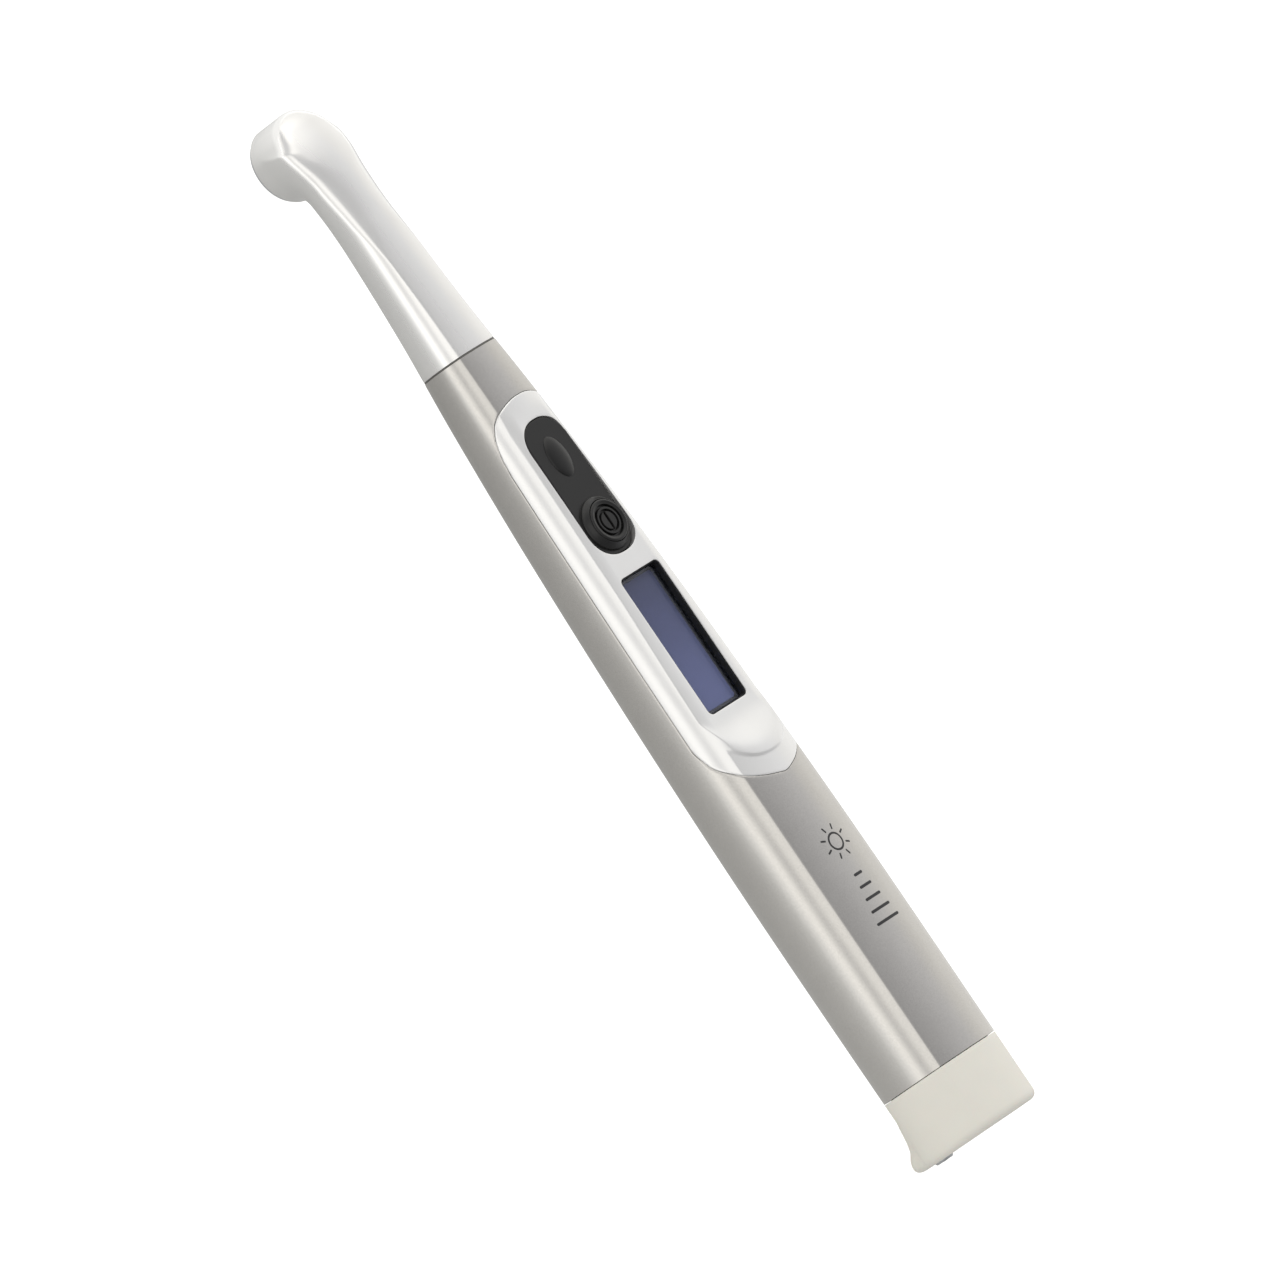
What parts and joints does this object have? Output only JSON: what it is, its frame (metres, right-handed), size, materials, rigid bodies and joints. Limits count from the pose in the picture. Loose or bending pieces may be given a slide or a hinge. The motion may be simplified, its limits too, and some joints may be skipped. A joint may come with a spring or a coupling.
{
  "type": "dental curing light",
  "caption": "Cordless pen-style dental curing light with an angled lens head, tapered neck, thumb keypad, small display and a removable battery pack in the end cap.",
  "frame": {"origin": "on the body axis, at the flat end face of the end cap", "axes": "+Y along the body to the tip of the head, +Z on the key side, and the lens looks along -Z"},
  "size_m": [0.0256, 0.2384, 0.0263],
  "materials": {
    "silver_paint": "satin metallic paint",
    "pearl_shell": "pearl white gloss",
    "cream_plastic": "fine matte texture",
    "key_rubber": "matte charcoal silicone",
    "black_plastic": "moulded black",
    "clear_window": "clear polished",
    "lcd_glass": "unlit liquid crystal",
    "white_plastic": "moulded white",
    "zebra_rubber": "striped elastomer",
    "circuit_board": "green solder mask",
    "ceramic": "tan ceramic",
    "bare_metal": "machined",
    "grey_plastic": "moulded grey",
    "contact_gold": "gold plated",
    "charge_metal": "bright plated",
    "polished_ring": "mirror polished",
    "optic_glass": "clear polished",
    "seal_rubber": "black silicone",
    "emitter": "yellow phosphor",
    "copper": "bare copper",
    "wire_jacket": "silicone jacket",
    "cell_wrap": "blue shrink wrap"
  },
  "bodies": {
    "handpiece": {"main_housing": "silver_paint", "control_fascia": "pearl_shell", "keypad_mat": "key_rubber", "power_switch": "black_plastic", "mode_switch": "black_plastic", "display_bezel": "black_plastic", "display_window": "clear_window", "lcd_module": "lcd_glass", "lcd_backlight": "white_plastic", "zebra_strips": "zebra_rubber", "main_board": "circuit_board", "microcontroller": "black_plastic", "power_inductor": "black_plastic", "capacitors": "ceramic", "buzzer": "black_plastic", "led_connector": "white_plastic", "board_screws": "bare_metal", "chassis": "grey_plastic", "contact_block": "black_plastic", "battery_contacts": "contact_gold", "neck_shell": "pearl_shell", "neck_gasket": "seal_rubber", "neck_collar": "bare_metal", "lens_ring": "polished_ring", "front_lens": "optic_glass", "lens_gasket": "seal_rubber", "led_reflector": "polished_ring", "led_emitter": "emitter", "led_board": "white_plastic", "heat_slug": "bare_metal", "heat_pipe": "copper", "led_wires": "wire_jacket"},
    "power_button": {"power_key": "key_rubber"},
    "power_plunger": {"power_plunger": "contact_gold"},
    "mode_button": {"mode_key": "key_rubber"},
    "mode_plunger": {"mode_plunger": "contact_gold"},
    "battery_pack": {"end_cap": "cream_plastic", "seal_ring": "seal_rubber", "battery_sleeve": "white_plastic", "battery_cell": "cell_wrap", "cell_insulator": "white_plastic", "protection_board": "circuit_board", "pack_plug": "black_plastic", "pack_terminals": "contact_gold", "charge_pin": "charge_metal", "charge_insulator": "black_plastic", "charge_ring": "charge_metal"}
  },
  "joints": [
    {"name": "power_press", "type": "slide", "parent": "handpiece", "child": "power_button", "axis": [0, 0, -1], "range_m": [0, 0.0004], "stiffness_N_per_m": 1500, "springref_m": -0.0002},
    {"name": "power_plunger_press", "type": "slide", "parent": "handpiece", "child": "power_plunger", "axis": [0, 0, -1], "range_m": [0, 0.0004]},
    {"name": "mode_press", "type": "slide", "parent": "handpiece", "child": "mode_button", "axis": [0, 0, -1], "range_m": [0, 0.0004], "stiffness_N_per_m": 1500, "springref_m": -0.0002},
    {"name": "mode_plunger_press", "type": "slide", "parent": "handpiece", "child": "mode_plunger", "axis": [0, 0, -1], "range_m": [0, 0.0004]},
    {"name": "battery_slide", "type": "slide", "parent": "handpiece", "child": "battery_pack", "axis": [0, -1, 0], "range_m": [0, 0.09]}
  ],
  "couplings": [
    {"joint": "power_plunger_press", "follows": "power_press", "ratio": 1},
    {"joint": "mode_plunger_press", "follows": "mode_press", "ratio": 1}
  ]
}
